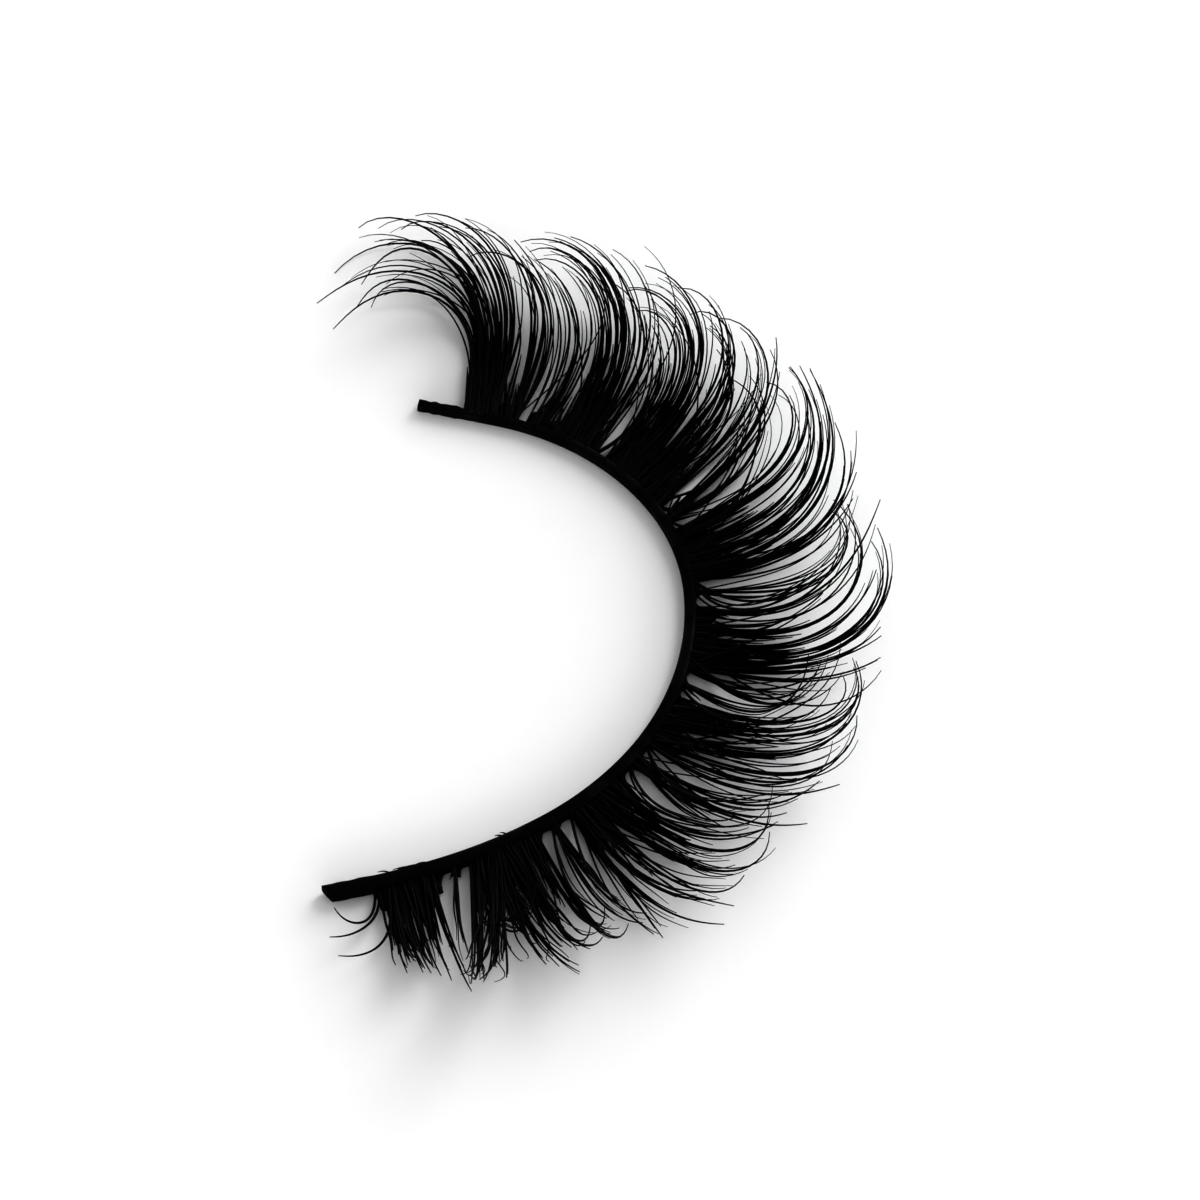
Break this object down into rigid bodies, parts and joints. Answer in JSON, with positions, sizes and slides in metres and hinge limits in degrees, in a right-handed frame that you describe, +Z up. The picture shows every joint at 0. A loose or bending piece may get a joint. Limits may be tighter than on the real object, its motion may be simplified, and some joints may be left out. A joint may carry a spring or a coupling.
{
  "type": "false eyelash strip",
  "caption": "Black strip lash: a thin cotton band bent into a C, carrying clusters of curled, pointed fibre locks that grow longer towards the outer corner.",
  "frame": {"origin": "on the surface that the band lies on, under the centre of the whole strip's box", "axes": "+X towards the back of the C where the middle lashes point, +Y from the inner corner to the outer corner, +Z up, the way the lashes curl"},
  "size_m": [0.0198, 0.0331, 0.0041],
  "materials": {
    "cotton_band": "black twisted cotton, matt, with a thin dried glue sheen",
    "lash_fibre": "black heat-set synthetic fibre with a soft gloss"
  },
  "bodies": {
    "root": {"band": "cotton_band", "lash_fan_1": "lash_fibre", "lash_fan_2": "lash_fibre", "lash_fan_3": "lash_fibre", "lash_fan_4": "lash_fibre", "lash_fan_5": "lash_fibre", "lash_fan_6": "lash_fibre", "lash_fan_7": "lash_fibre", "lash_fan_8": "lash_fibre", "lash_fan_9": "lash_fibre"}
  },
  "joints": []
}
